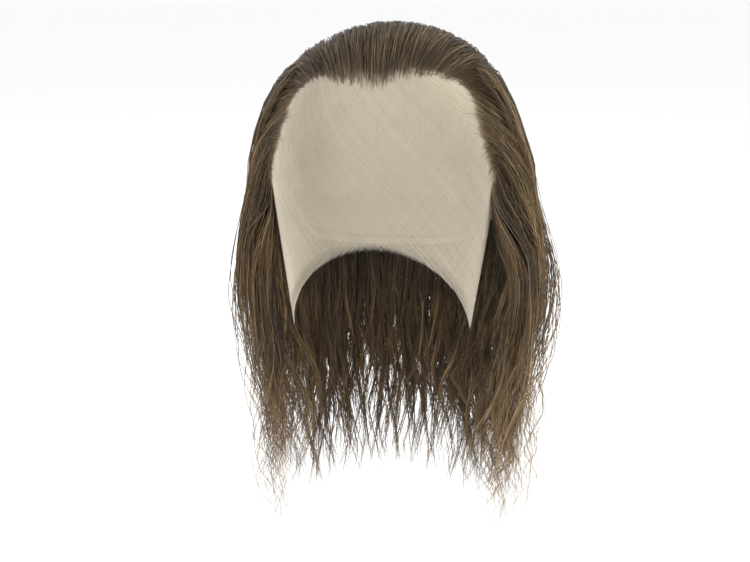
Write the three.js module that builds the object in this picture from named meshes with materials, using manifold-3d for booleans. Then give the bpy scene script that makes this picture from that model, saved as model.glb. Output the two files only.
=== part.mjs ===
// Lace front wig: shoulder length brown hair combed back from the face, tied into a sheer untrimmed
// lace front and a net cap. Millimetres, +Z up, the face towards -Y. The origin is the inside of the
// cap at the crown, where the top of the wearer's head sits.
import * as THREE from "three";
import { mergeVertices } from "three/addons/utils/BufferGeometryUtils.js";
import Module from "manifold-3d";

const wasm = await Module();
wasm.setup();

// The head that the wig is made to fit
const HEAD_HALF_WIDTH = 78;
const HEAD_HALF_LENGTH = 96;
const CROWN_HEIGHT = 90; // from the widest level of the head up to the crown
const SIDE_TAPER = 0.0014; // share of the width lost for each millimetre below the widest level
const NAPE_TAPER = 0.0034; // the same at the back, where the head runs in to the neck
const HEAD_DEPTH = 215; // how far below the crown the head form is drawn

// Cloth and clearances
const CAP_WALL = 1.2;
const LACE_WALL = 1.0;
const SPLINE_STEPS = 3; // straight steps between two points of a curved edge
const SEAM_GAP = 0.4; // between the lace and the cap, edge to edge
const HAIR_GAP = 0.4; // between the cap and the hair on it
const HAIR_CLEARANCE = 2.3; // from the head to the underside of the hair
const SECTION_GAP = 0.002; // between two hair sections, as a share of the hairline from brow to ear

// Hair
const HAIR_LENGTH = 350;
const CUT_DROP = 366; // the ends are trimmed at this level below the crown
const LENGTH_SPREAD = 24; // how much shorter than that the shortest locks are
const CROWN_LOFT = 12; // height of the hair over the crown
const CURTAIN_THICKNESS = 25; // the most that the hanging hair measures through
const ROOT_LIFT = 0.12; // share of the full thickness at the hairline
const LIFT_LENGTH = 50; // how far from the hairline the hair reaches its full thickness
const BACK_SPREAD = 49; // degrees from the middle of the back to the edge of the back hair
const BACK_ROOT_RING = 0.5; // where the back hair starts, as a share of the way from crown to side
const BACK_LAYER = 0.4; // share of the thickness that the back hair takes, under the top hair
const TOP_LAYER = 0.48; // where the top hair starts over the back hair

// The hairline on one side, from the peak over the brow to the front of the ear: bearing in degrees
// from the middle of the face, drop in millimetres below the crown, and where the hair that grows
// there is combed to before it falls, in degrees from the middle of the back.
const HAIRLINE = [
  { bearing: 0, drop: 26, fall: 0 },
  { bearing: 22, drop: 21, fall: 24 },
  { bearing: 45, drop: 20, fall: 46 },
  { bearing: 64, drop: 25, fall: 63 },
  { bearing: 75, drop: 36, fall: 76 },
  { bearing: 68, drop: 52, fall: 85 },
  { bearing: 65, drop: 72, fall: 92 },
  { bearing: 70, drop: 90, fall: 98 },
];

// How far the outside of the hanging hair stands off the head, level by level.
const FLARE = [
  { drop: 90, left: 17, right: 25.5, back: 22 },
  { drop: 140, left: 25.5, right: 35, back: 23 },
  { drop: 175, left: 27.5, right: 38, back: 23 },
  { drop: 215, left: 23.5, right: 34, back: 21 },
  { drop: 260, left: 18, right: 29, back: 18 },
  { drop: 310, left: 12, right: 26, back: 14 },
  { drop: 366, left: 8, right: 22, back: 10 },
];

// How much less the hair stands out to the sides where the head rounds over to the crown, as a share.
const SHOULDER = { left: 0.12, right: 0.2 };

// The seam where the lace is sewn to the cap, from the crown to the ear, seen from the side.
const SEAM = [
  { y: -58, z: 6 },
  { y: -50, z: -13 },
  { y: -30, z: -20 },
  { y: -3, z: -38 },
  { y: -10, z: -62 },
  { y: -14, z: -90 },
  { y: -6, z: -118 },
];

// The cap's lower edge, from the ear round to the nape, seen from the side.
const NAPE_EDGE = [
  { y: 10, z: -112 },
  { y: 30, z: -120 },
  { y: 50, z: -146 },
  { y: 120, z: -168 },
];

// The lace's cut edge, seen from the side: from behind the temple to the middle of the brow.
const LACE_CUT = { back: { y: -24, z: -198 }, front: { y: -112, z: -104 } };

// Each hair section: the stretch of hairline that it grows from, where -1 is the ear on the left of
// the face and 1 the ear on the right, how many locks it is combed into, and how many straight steps
// each lock takes over the head.
const SECTIONS = [
  { name: "hair_left", from: -1, to: -0.33, locks: 8, steps: 7 },
  { name: "hair_top", from: -0.33, to: 0.33, locks: 8, steps: 9 },
  { name: "hair_right", from: 0.33, to: 1, locks: 8, steps: 7 },
];
const BACK_SECTION = { from: -1, to: 1, locks: 8, steps: 5 };
const LOCK_OVERLAP = 0.66; // half a lock's width over the distance between locks
const TAPER_START = 0.45; // where a hanging lock starts to taper, as a share of its fall
const TIP_TAPER = 0.85; // share of the lock's width that is gone at its tip
const FALL_STEPS = 6; // straight steps of a lock below that
const LENGTH_STEPS = 12; // straight steps that a hair's length is measured in

// A lock cut across: the share of its half width, and of the thickness of its layer.
const LOCK_SECTION = [
  { across: 1, depth: 0.12 },
  { across: 0.9, depth: 0.78 },
  { across: 0, depth: 1 },
  { across: -0.9, depth: 0.78 },
  { across: -1, depth: 0.12 },
  { across: 0, depth: 0 },
];

const HAIR_BROWN = new THREE.MeshStandardMaterial({ color: 0x5a4a37, roughness: 0.55, metalness: 0 });
const LACE_BEIGE = new THREE.MeshStandardMaterial({ color: 0xd3c8b4, roughness: 0.9, metalness: 0 });
const NET_BEIGE = new THREE.MeshStandardMaterial({ color: 0xc4b59c, roughness: 0.9, metalness: 0 });

const { clamp, degToRad, lerp, smoothstep } = THREE.MathUtils;

// The value of a table's column at a level, on a smooth line through its rows.
function column(table, key, name, at) {
  const last = table.length - 1;
  let row = 0;
  while (row < last - 1 && table[row + 1][key] < at) row += 1;
  const share = clamp((at - table[row][key]) / (table[row + 1][key] - table[row][key]), 0, 1);
  const [a, b, c, d] = [row - 1, row, row + 1, row + 2].map((i) => table[clamp(i, 0, last)][name]);
  return b + 0.5 * share * (c - a + share * (2 * a - 5 * b + 4 * c - d + share * (3 * (b - c) + d - a)));
}

// How wide the head is at a drop below the crown, as a share of its widest.
function headRing(drop, bearing) {
  if (drop <= CROWN_HEIGHT) return Math.sqrt(1 - (1 - drop / CROWN_HEIGHT) ** 2);
  const behind = (1 - Math.cos(bearing)) / 2;
  return 1 - lerp(SIDE_TAPER, NAPE_TAPER, behind * behind) * (drop - CROWN_HEIGHT);
}

// A point on the head form grown by an offset.
function headPoint(bearing, drop, offset) {
  const ring = headRing(drop, bearing);
  const rise = Math.max(0, 1 - drop / CROWN_HEIGHT) * (CROWN_HEIGHT + offset);
  return new THREE.Vector3(
    (HEAD_HALF_WIDTH + offset) * ring * Math.sin(bearing),
    -(HEAD_HALF_LENGTH + offset) * ring * Math.cos(bearing),
    drop <= CROWN_HEIGHT ? rise - CROWN_HEIGHT : -drop,
  );
}

// A closed skin over rings of points, with a fan over each end.
function loft(rings) {
  const sides = rings[0].length;
  const corners = rings.flat();
  const middle = (ring) => ring.reduce((sum, p) => sum.add(p), new THREE.Vector3()).divideScalar(sides);
  corners.push(middle(rings[0]), middle(rings.at(-1)));
  const index = [];
  for (let side = 0; side < sides; side += 1) {
    const next = (side + 1) % sides;
    for (let ring = 0; ring < rings.length - 1; ring += 1) {
      const [a, b] = [ring * sides + side, ring * sides + next];
      index.push(a, b, b + sides, a, b + sides, a + sides);
    }
    const end = (rings.length - 1) * sides;
    index.push(corners.length - 2, next, side, corners.length - 1, end + side, end + next);
  }
  return new THREE.BufferGeometry().setFromPoints(corners).setIndex(index);
}

// A geometry as a solid that can be joined and cut, with its faces turned outwards.
function solid(geometry) {
  const bare = geometry.clone();
  for (const name of Object.keys(bare.attributes)) if (name !== "position") bare.deleteAttribute(name);
  const merged = mergeVertices(bare, 1e-4);
  const triVerts = new Uint32Array(merged.index.array);
  const vertProperties = merged.attributes.position.array;
  const make = () => new wasm.Manifold(new wasm.Mesh({ numProp: 3, vertProperties, triVerts }));
  const made = make();
  if (made.volume() > 0) return made;
  triVerts.reverse();
  return make();
}

function mesh(name, body, material) {
  const { vertProperties, triVerts } = body.getMesh();
  const geometry = new THREE.BufferGeometry();
  geometry.setAttribute("position", new THREE.BufferAttribute(vertProperties, 3));
  geometry.setIndex(new THREE.BufferAttribute(triVerts, 1));
  geometry.computeVertexNormals();
  const made = new THREE.Mesh(geometry, material);
  made.name = name;
  return made;
}

// The head form as a solid, grown by an offset.
function headSolid(offset, depth) {
  const around = 36;
  const levels = 8;
  const crownDrop = (level) => CROWN_HEIGHT * (1 - Math.cos((level / levels) * (Math.PI / 2)));
  const drops = [0.05];
  for (let level = 1; level <= levels; level += 1) drops.push(crownDrop(level));
  drops.push(130, depth);
  const ringAt = (drop) =>
    Array.from({ length: around }, (_, i) => headPoint((i / around) * 2 * Math.PI, drop, offset));
  return solid(loft(drops.map(ringAt)));
}

// A side view outline swept across the whole width of the wig.
function acrossWidth(outline) {
  const reach = 2 * HEAD_HALF_WIDTH;
  const sweep = { depth: 2 * reach, bevelEnabled: false, curveSegments: SPLINE_STEPS };
  const swept = new THREE.ExtrudeGeometry(outline, sweep);
  const toSideView = new THREE.Matrix4().makeBasis(
    new THREE.Vector3(0, 1, 0),
    new THREE.Vector3(0, 0, 1),
    new THREE.Vector3(1, 0, 0),
  );
  return solid(swept.applyMatrix4(toSideView).translate(-reach, 0, 0));
}

const sidePoint = ({ y, z }) => new THREE.Vector2(y, z);

function buildCap() {
  const wall = headSolid(CAP_WALL, HEAD_DEPTH).subtract(headSolid(0, HEAD_DEPTH + 1));
  const outline = new THREE.Shape().moveTo(SEAM[0].y, SEAM[0].z);
  outline.splineThru(SEAM.slice(1).map(sidePoint));
  outline.splineThru(NAPE_EDGE.map(sidePoint));
  outline.lineTo(NAPE_EDGE.at(-1).y, 2 * CROWN_LOFT).lineTo(SEAM[0].y, 2 * CROWN_LOFT);
  return wall.intersect(acrossWidth(outline));
}

function buildLace() {
  const wall = headSolid(LACE_WALL, HEAD_DEPTH).subtract(headSolid(0, HEAD_DEPTH + 1));
  const ahead = ({ y, z }) => new THREE.Vector2(y - SEAM_GAP, z - SEAM_GAP);
  const start = ahead(SEAM[0]);
  const outline = new THREE.Shape().moveTo(start.x, start.y);
  outline.splineThru(SEAM.slice(1).map(ahead));
  outline.lineTo(LACE_CUT.back.y, LACE_CUT.back.z).lineTo(LACE_CUT.front.y, LACE_CUT.front.z);
  outline.lineTo(LACE_CUT.front.y, start.y);
  return wall.intersect(acrossWidth(outline));
}

// The hairline at a share of the way from the peak (0) to the ear (1 or -1).
function hairline(side) {
  const table = HAIRLINE.map((row, at) => ({ at, ...row }));
  const at = Math.abs(side) * (HAIRLINE.length - 1);
  return {
    bearing: Math.sign(side) * degToRad(column(table, "at", "bearing", at)),
    drop: Math.min(CROWN_HEIGHT, column(table, "at", "drop", at)),
    fall: Math.sign(side) * degToRad(column(table, "at", "fall", at)),
  };
}

// A line of combed hair on a dome of radius 1, straight in plan from its root to where it falls.
class CombedLine extends THREE.Curve {
  constructor(root, fall) {
    super();
    this.root = root;
    this.fall = fall;
    this.arcLengthDivisions = 60;
  }

  getPoint(share) {
    const plan = this.root.clone().lerp(this.fall, 1 - (1 - share) ** 2);
    return new THREE.Vector3(plan.x, plan.y, Math.sqrt(Math.max(0, 1 - plan.lengthSq())));
  }
}

const fallPoint = (turn) => new THREE.Vector2(Math.sin(turn), Math.cos(turn));

function growsFromHairline(side) {
  const { bearing, drop, fall } = hairline(side);
  const ring = headRing(drop, bearing);
  const root = new THREE.Vector2(ring * Math.sin(bearing), -ring * Math.cos(bearing));
  return new CombedLine(root, fallPoint(fall));
}

function growsFromBack(side) {
  const fall = fallPoint(degToRad(BACK_SPREAD) * side);
  return new CombedLine(fall.clone().multiplyScalar(BACK_ROOT_RING), fall);
}

// How far the hair stands off the head at a drop and a depth, where depth 0 is the underside of the
// hair and 1 its outside. Over the head, up is the height on a dome of radius 1.
function standOff(plan, drop, depth, up = 0) {
  const right = smoothstep(plan.x, -0.6, 0.6);
  const rounding = smoothstep(up, 0, 0.3) * (1 - smoothstep(up, 0.5, 0.85));
  const drawnIn = 1 - rounding * lerp(SHOULDER.left, SHOULDER.right, right);
  const hung = lerp(column(FLARE, "drop", "left", drop), column(FLARE, "drop", "right", drop), right);
  const sides = hung * drawnIn;
  const back = column(FLARE, "drop", "back", drop);
  const between = (outside) => {
    const inside = Math.min(outside, Math.max(HAIR_CLEARANCE, outside - CURTAIN_THICKNESS));
    return lerp(inside, outside, depth);
  };
  return { x: between(sides), y: between(back) };
}

// A point of the hair over the head, where along runs from 0 at the root to 1 where it starts to hang.
function overHead(line, along, depth) {
  const dome = line.getPointAt(along);
  const off = standOff(dome, CROWN_HEIGHT, depth, dome.z);
  const fromRoot = along * line.getLength() * CROWN_HEIGHT;
  const lift = lerp(ROOT_LIFT, 1, smoothstep(fromRoot, 0, LIFT_LENGTH));
  const grown = (full) => HAIR_CLEARANCE + (full - HAIR_CLEARANCE) * lift;
  const up = lerp(HAIR_CLEARANCE, CROWN_LOFT, depth);
  return new THREE.Vector3(
    (HEAD_HALF_WIDTH + grown(off.x)) * dome.x,
    (HEAD_HALF_LENGTH + grown(off.y)) * dome.y,
    (CROWN_HEIGHT + grown(up)) * dome.z - CROWN_HEIGHT,
  );
}

// A point of the hair below that, where it hangs.
function hanging(line, drop, depth) {
  const { fall } = line;
  const off = standOff(fall, drop, depth);
  return new THREE.Vector3((HEAD_HALF_WIDTH + off.x) * fall.x, (HEAD_HALF_LENGTH + off.y) * fall.y, -drop);
}

// The level where the hair of a line ends: its length, or the trimmed line if that is higher.
function tipDrop(line) {
  let length = 0;
  let last = overHead(line, 0, 1);
  for (let step = 1; step <= LENGTH_STEPS; step += 1) {
    const next = overHead(line, step / LENGTH_STEPS, 1);
    length += next.distanceTo(last);
    last = next;
  }
  return Math.min(CUT_DROP, CROWN_HEIGHT + HAIR_LENGTH - length);
}

// One lock: a loft of small sections that each lie across the stream of hair.
function lock(grow, middle, half, layerAt, steps, shortening) {
  const tip = tipDrop(grow(middle)) - shortening;
  const section = (place, [low, high], taper) =>
    LOCK_SECTION.map(({ across, depth }) => {
      const line = grow(middle + half * taper * across);
      return place(line, lerp(low, high, 0.5 + taper * (depth - 0.5)));
    });
  const rings = [];
  for (let step = 0; step <= steps; step += 1) {
    const along = step / steps;
    rings.push(section((line, depth) => overHead(line, along, depth), layerAt(along), 1));
  }
  for (let step = 1; step <= FALL_STEPS; step += 1) {
    const share = step / FALL_STEPS;
    const drop = lerp(CROWN_HEIGHT, tip, share);
    const taper = 1 - TIP_TAPER * smoothstep(share, TAPER_START, 1);
    rings.push(section((line, depth) => hanging(line, drop, depth), layerAt(1), taper));
  }
  return solid(loft(rings));
}

// A row of locks that overlap and are fused into one body.
function lockRow(grow, { from, to, locks, steps }, layerAt) {
  const start = from + SECTION_GAP;
  const pitch = (to - SECTION_GAP - start) / (locks - 1 + 2 * LOCK_OVERLAP);
  const half = LOCK_OVERLAP * pitch;
  let body = null;
  for (let i = 0; i < locks; i += 1) {
    const shortening = LENGTH_SPREAD * (0.5 + 0.5 * Math.sin(2.4 * i + 1));
    const made = lock(grow, start + half + i * pitch, half, layerAt, steps, shortening);
    body = body ? body.add(made) : made;
  }
  return body;
}

// The top hair lies on the cap over the brow and on the back hair behind the crown.
const topLayer = (along) => [lerp(0, TOP_LAYER, smoothstep(along, 0.1, 0.4)), 1];
const fullLayer = () => [0, 1];
const backLayer = () => [0, BACK_LAYER];

const room = headSolid(CAP_WALL + HAIR_GAP, HEAD_DEPTH);
const wig = new THREE.Group();
wig.add(mesh("cap", buildCap(), NET_BEIGE));
wig.add(mesh("lace_front", buildLace(), LACE_BEIGE));
for (const section of SECTIONS) {
  const layerAt = section.name === "hair_top" ? topLayer : fullLayer;
  wig.add(mesh(section.name, lockRow(growsFromHairline, section, layerAt).subtract(room), HAIR_BROWN));
}
const backHair = lockRow(growsFromBack, BACK_SECTION, backLayer);
wig.add(mesh("hair_back", backHair.subtract(room), HAIR_BROWN));

export default wig;
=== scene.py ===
"""Looks of a lace front wig: hair as combed strands, the lace and the cap as nets of thread."""
import math

import bmesh
import bpy
import numpy as np
from mathutils import Matrix, Vector


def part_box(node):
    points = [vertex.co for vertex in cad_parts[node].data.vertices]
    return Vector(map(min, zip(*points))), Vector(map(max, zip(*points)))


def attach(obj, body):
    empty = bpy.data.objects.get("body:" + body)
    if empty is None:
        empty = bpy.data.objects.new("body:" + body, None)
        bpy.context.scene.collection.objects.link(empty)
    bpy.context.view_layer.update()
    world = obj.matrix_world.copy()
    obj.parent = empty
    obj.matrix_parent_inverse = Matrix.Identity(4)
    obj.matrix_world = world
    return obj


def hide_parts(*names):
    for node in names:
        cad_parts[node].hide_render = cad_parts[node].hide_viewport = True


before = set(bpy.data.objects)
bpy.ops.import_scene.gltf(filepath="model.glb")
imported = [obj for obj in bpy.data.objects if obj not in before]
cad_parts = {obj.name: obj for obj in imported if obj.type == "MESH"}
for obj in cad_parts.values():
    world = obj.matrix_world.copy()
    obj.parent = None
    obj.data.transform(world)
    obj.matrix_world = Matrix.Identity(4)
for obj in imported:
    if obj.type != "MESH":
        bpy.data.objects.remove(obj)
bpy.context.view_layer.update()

bl_info = {
    "name": "Lace Front Wig",
    "version": (1, 0, 0),
    "blender": (4, 5, 0),
    "location": "3D View > Sidebar > Wig",
    "description": "Dresses the solids of a lace front wig with strands of hair and nets of thread",
    "category": "Object",
}

MM = 0.001

# The head that the wig fits, in millimetres, with the crown at the origin and the face towards -Y
CAP_WALL = 1.2
HALF_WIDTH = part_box("cap")[1][0] / MM - CAP_WALL
HALF_LENGTH = 96.0
CROWN_HEIGHT = 90.0  # of the crown over the head's widest level
SIDE_TAPER = 0.0014  # how much it narrows below that level, as a share a millimetre
NAPE_TAPER = 0.0034  # the same at the back

# How the hair lies, in millimetres
NET_OFFSET = 0.5  # middle of the cloth's wall, off the head
LIE_OFFSET = 1.4  # where a hair lies on the cloth, off the head
HAIR_CLEARANCE = 2.3  # underside of the hair, off the head
CURTAIN_THICKNESS = 25.0  # of the hanging hair
HAIR_RADIUS = 105.0  # of the hair round the head, roughly
INNER_LIFT = 35.0  # how far from its root a hair has risen to its full height
EDGE_LIFT = (48.0, 62.0)  # and where it grows at the hairline, on the top and on the sides
SHORTEST_DROP = CROWN_HEIGHT + 30.0  # highest end of a combed strand
SETTLED_DROP = 190.0  # where a hair has come to the depth that it hangs at
GATHER_DROP = CROWN_HEIGHT + 20.0  # where the strands of a lock start to draw together
DRIFT_DROPS = (150, 366)  # where a lock's drift aside starts and ends
LOW_ROOT = 100.0  # how much lower a hair is tied in for each 1 that its start is past 1

# How the hair lies, in shares and radians
RAY_LIMIT = math.radians(100)  # how far forward the hair of the sides grows and falls, from the back
CROWN_LEAN = 0.45  # how much fuller the crown is towards its right
SHOULDER = (0.12, 0.2)  # how much less hair stands out where the head rounds over, left and right
INNER_ROOT_RUN = 0.14  # where the run of a hair behind the hairline starts, past the light roots
OUTSIDE = 1.02  # depth of the outermost hairs, from 0 for the underside of the hair
PHASES = (0, 6.3)  # of waves, about one full turn

# The hairline on one side, from the peak to the front of the ear: bearing in degrees from the middle
# of the face, drop below the crown, and where the hair is combed to, in degrees from the back.
# Elsewhere a place on it is a side, from -1 in front of the left ear to 1 in front of the right one.
HAIRLINE = {
    "at": (0, 1, 2, 3, 4, 5, 6, 7),
    "bearing": (0, 22, 45, 64, 75, 68, 65, 70),
    "drop": (26, 21, 20, 25, 36, 52, 72, 90),
    "fall": (0, 24, 46, 63, 76, 85, 92, 98),
}

# How far behind that line the hair grows, from the left temple over the peak to the right temple, and
# in front of it where negative: the peak is broader on its left
GROWTH = {
    "side": (-1, -0.75, -0.57, -0.46, -0.37, -0.31, -0.24, -0.14, -0.05, 0, 0.08, 0.26, 0.35, 0.5, 0.65, 1),
    "behind": (0, -3, -6, -6, -4, -2, -4, -2, 1, 2, 3, 1, -2, -1, -2, 0),
}

# How far the outside of the hanging hair stands off the head, level by level
FLARE = {
    "drop": (90, 140, 175, 215, 260, 310, 366),
    "left": (17, 25.5, 27.5, 22, 17.5, 15, 13),
    "right": (25.5, 35, 38, 33, 29, 29, 29),
    "back": (22, 23, 23, 21, 18, 14, 10),
}

# Side view edges: the seam between lace and cap, the cap's lower edge and the lace's cut edge
SEAM = [(-58, 6), (-50, -13), (-30, -20), (-3, -38), (-10, -62), (-14, -90), (-6, -118)]
NAPE_EDGE = [(10, -112), (30, -120), (50, -146), (120, -168)]
LACE_CUT = [(-24, -198), (-112, -104)]
ABOVE = 24.0  # a level over the whole wig

# The nets: the corners of the flat cloth, how many millimetres down the cloth lie between two points of
# a thread, and how far its cut ends fray
LACE = {"seed": 3, "low": (-150, 10), "high": (150, 270), "points_every": 5, "fray": 1.2}
CAP = {"seed": 5, "low": (-250, -250), "high": (250, 250), "points_every": 7, "fray": 0.2}
HEM = {"cords": 5, "pitch": 0.9}
UNEVEN_WEAVE = 0.1  # how far a thread strays, as a share of the pitch
CROSSING = 0.12  # how far the threads of each way lie off the middle of the wall
FEWEST_POINTS = 4  # of a thread

# How the points of a strand are spread from root to tip, closer where it bends
STRAND_RUNS = (0, 0.012, 0.05, 0.11, 0.19, 0.29, 0.4, 0.51, 0.62, 0.72, 0.81, 0.88, 0.945, 1)
BACK_RUNS = (0, 0.015, 0.07, 0.18, 0.32, 0.48, 0.64, 0.78, 0.9, 1)
FRINGE_RUNS = (0, 0.05, 0.2, 0.42, 0.7, 1)
WISP_RUNS = tuple(np.linspace(0, 1, 22) ** 0.75)

# The sections of hair that grow from the hairline: the stretch of it, the low side of the layer, the
# share of strands that grow at the very hairline, how far depths are mixed within a lock, how far above
# the cut line the longest ends stop, how far the others are thinned upwards, how uneven the ends of one
# lock are, and how many strands and locks there are.
SECTIONS = [
    {
        "name": "hair_top", "from": -0.37, "to": 0.37, "low": 0.3, "edge": 0.3, "mixed": 0.3,
        "above": 0, "thinned": 85, "uneven": 0.12, "strands": 2400, "locks": 150,
    },
    {
        "name": "hair_left", "from": -1.0, "to": -0.29, "low": 0.0, "edge": 0.36, "mixed": 0.18,
        "above": 30, "thinned": 165, "uneven": 0.12, "strands": 2300, "locks": 64,
    },
    {
        "name": "hair_right", "from": 0.29, "to": 1.0, "low": 0.0, "edge": 0.36, "mixed": 0.18,
        "above": 22, "thinned": 115, "uneven": 0.12, "strands": 2500, "locks": 72,
    },
]

# What those sections share
FRONT = {
    "thickness": 1.0,
    "runs": STRAND_RUNS,
    "scatter": 1.1,  # of the roots of a lock, in locks
    "to_side": (0.2, 0.55),  # where the hair turns from the back to the sides
    "temple": 0.45,  # side where the temple starts
    "radius": (0.42, 0.97),  # where the sides grow, from the crown at 0 to the widest level at 1
    "edge_depth": 0.6,  # least depth of the hair of the hairline
    "behind": (4, 16),  # its roots, behind the hairline
    "start": (0.03, 0.75),  # the other roots, as a share of the way over the head
    "ray": (0.1, 0.5),  # how much further forward the sides grow than they fall
    "edge_forward": 0.12, "inner_forward": -0.14,  # turn of the lowest hair, back where negative
    "shorter": (10, 100),  # the hair of the temples
    "shorter_turned": 250,  # and more for each radian that it turns forward
    "hold": (0.45, 0.92),  # how closely the strands of a lock draw together
    "drift": 1.0, "wave": 1.7, "wave_drops": (120, 320),
    "own_size": 3.0, "own_wave": {"drops": (170, 330), "period": (75, 120)},
    "tone": 0.29, "tone_spread": 0.22,
}

# The hair at the back: its spread to each side in degrees, the ring in plan that it starts from, and
# the highest depth that it reaches, under the hair of the other sections
BACK = {
    "name": "hair_back", "thickness": 1.35, "runs": BACK_RUNS, "spread": 52, "ring": 0.2, "high": 0.5,
    "mixed": 0.1, "start": (0, 1.6), "above": 0, "thinned": 110, "uneven": 0.25,
    "strands": 3300, "locks": 200, "hold": (0.05, 0.3), "drift": 0.4, "wave": 1.0, "wave_drops": (110, 280),
    "tone": 0.34, "tone_spread": 0.17,
}

# The short hairs of the hairline
FRINGE = {
    "name": "hairline", "thickness": 0.72, "runs": FRINGE_RUNS, "strands": 5200, "lengths": (40, 185),
    "at_temples": 0.25,  # share added at the temples
    "temple": (0.45, 0.95),
    "temple_turn": 0.264,  # how much further forward they fall there
    "front": -9.5,  # of the foremost roots, against the line where the hair grows
    "below": 0.1,  # share that grows below the hairline, in front of the ears
    "below_fall": (109, 17),  # in degrees from the back, and how much less at the lower end
    "below_start": 0.24,
    "tip": 250.0, "tone": 0.5, "tone_spread": 0.2,
}

# Single curly hairs: of a pair, the right side comes first
WISPS = {
    "name": "loose_wisps", "thickness": 1.0, "runs": WISP_RUNS, "strands": 640, "on_right": 0.6,
    "side": (0.3, 1.0), "radius": (0.4, 0.97),
    "stray": (0.16, 0.07), "stray_out": (9.0, 6.0),  # the share that strays far out, and how far
    "highest": 250, "past_cut": 8, "stray_size": 4.5, "size": 6.0, "end_size": 4.0,
    "curl": {"drops": (110, 260), "period": (70, 130)},
    "end_curl": {"drops": (190, 310), "period": (45, 75)},
    "tone": 0.55, "tone_spread": 0.2, "stray_tone": 0.2,
}

WIDTH_SHARES = (0.7, 1.25)  # how the widths of strands differ
CORNER_REACH = 0.56  # from the middle of a strand to its corners, as a share of its width
UV_MARGIN = 0.1  # round a strand in its cell of the UV map

# How light a strand is along its run: at the root and the tip lighter than in the middle. The darker middle
# is painted shade, and the lighter lower end is partly the hair's own lighter tips and partly painted light
# on the shaded lower hair.
HAIR_PAINTED_SHADE_AND_LIGHT = [
    (0.0, (3.6, 3.25, 2.7)),
    (0.06, (2.1, 1.95, 1.75)),
    (0.2, (1.38, 1.32, 1.24)),
    (0.42, (0.56, 0.55, 0.525)),
    (0.6, (0.82, 0.79, 0.71)),
    (0.8, (1.75, 1.6, 1.3)),
    (1.0, (2.3, 2.05, 1.6)),
]
DYE_PATCH = 25.0  # millimetres
SOIL_PATCH = 30.0

# The stage
FLOOR_HALF_WIDTH = 40.0
LIGHT_SIZE = 0.9
LIGHT_AIM = (0, 0, -0.12)
LIGHTS = [
    {"name": "left", "where": (-1.2, -0.5, 0.9), "power": 12},
    {"name": "right", "where": (1.2, -0.7, 0.8), "power": 20},
    {"name": "front", "where": (-0.1, -1.4, 0.7), "power": 6},
]


def to_linear(code):
    """Linear colour of an sRGB hex code."""
    parts = [int(code[i:i + 2], 16) / 255 for i in (1, 3, 5)]
    return tuple(p / 12.92 if p <= 0.04045 else ((p + 0.055) / 1.055) ** 2.4 for p in parts)


def colour(name, code):
    return bpy.props.FloatVectorProperty(
        name=name, description=name, default=to_linear(code), subtype="COLOR", min=0, max=1)


def length(name, words, default):
    return bpy.props.FloatProperty(name=name, description=words, default=default, unit="LENGTH")


def angle(name, words, degrees):
    return bpy.props.FloatProperty(
        name=name, description=words, default=math.radians(degrees), subtype="ANGLE")


class WigHair(bpy.types.PropertyGroup):
    """Sizes and colours of the hair."""
    strand_length: length("Length", "Length of a full strand from root to tip", 0.350)
    cut_drop: length("Cut line", "How far below the crown the ends are trimmed", 0.366)
    crown_loft: length("Crown loft", "Height of the hair over the crown", 0.012)
    strand_width: length("Strand width", "Width of a strand, a few hairs together", 0.00044)
    wave: length("Wave", "How far the hanging locks wave to each side", 0.0065)
    seed: bpy.props.IntProperty(name="Seed", description="Changes the scatter of the strands", default=11)
    dark: colour("Darkest strands", "#2e2419")
    middle: colour("Most strands", "#4d3f2d")
    light: colour("Lighter strands", "#6c5b42")
    golden: colour("Golden strands", "#877456")


class WigCloth(bpy.types.PropertyGroup):
    """Sizes and colours of the lace and of the cap's net."""
    lace_pitch: length("Lace pitch", "Distance between two threads of the lace", 0.00095)
    lace_thread: length("Lace thread", "Width of a thread of the lace", 0.00056)
    cap_pitch: length("Net pitch", "Distance between two threads of the cap at the crown", 0.0017)
    cap_thread: length("Net thread", "Width of a thread of the cap", 0.00105)
    lace_colour: colour("Lace", "#b4aa96")
    cap_colour: colour("Cap net", "#bdae93")


class WigStage(bpy.types.PropertyGroup):
    """Camera and floor."""
    camera_turn: angle("Camera turn", "Turn of the camera round the wig", 5)
    camera_pitch: angle("Camera pitch", "How far the camera looks down", 15.6)
    camera_distance: length("Camera distance", "From the camera to the wig's upright axis", 0.75)
    camera_height: length("Camera height", "Of the camera above the crown", 0.04)
    camera_aside: length("Camera aside", "How far the camera stands to the left of the wig", 0.0069)
    lens: bpy.props.FloatProperty(name="Lens", description="Focal length in millimetres", default=52.2)
    floor_drop: length("Floor drop", "Of the floor below the crown", 0.43)
    floor_colour: colour("Floor", "#fafafa")


def smooth(x, low, high):
    share = np.clip((x - low) / (high - low), 0, 1)
    return share * share * (3 - 2 * share)


def blend(low, high, share):
    return low + (high - low) * share


def column(table, key, name, at):
    """Values of a table on a smooth line through them."""
    keys, values = np.array(table[key], float), np.array(table[name], float)
    at = np.clip(at, keys[0], keys[-1])
    row = np.clip(np.searchsorted(keys, at, side="right") - 1, 0, len(keys) - 2)
    share = (at - keys[row]) / (keys[row + 1] - keys[row])
    a, b, c, d = (values[np.clip(row + i, 0, len(keys) - 1)] for i in (-1, 0, 1, 2))
    return b + 0.5 * share * (c - a + share * (2 * a - 5 * b + 4 * c - d + share * (3 * (b - c) + d - a)))


def unit(vectors):
    return vectors / np.maximum(np.linalg.norm(vectors, axis=-1, keepdims=True), 1e-9)


def head_ring(drop, bearing):
    """The head's width at a drop, as a share of its widest."""
    crown = np.sqrt(np.clip(1 - (1 - np.minimum(drop, CROWN_HEIGHT) / CROWN_HEIGHT) ** 2, 0, 1))
    behind = ((1 - np.cos(bearing)) / 2) ** 2
    taper = blend(SIDE_TAPER, NAPE_TAPER, behind)
    return np.where(drop <= CROWN_HEIGHT, crown, 1 - taper * (drop - CROWN_HEIGHT))


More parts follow.
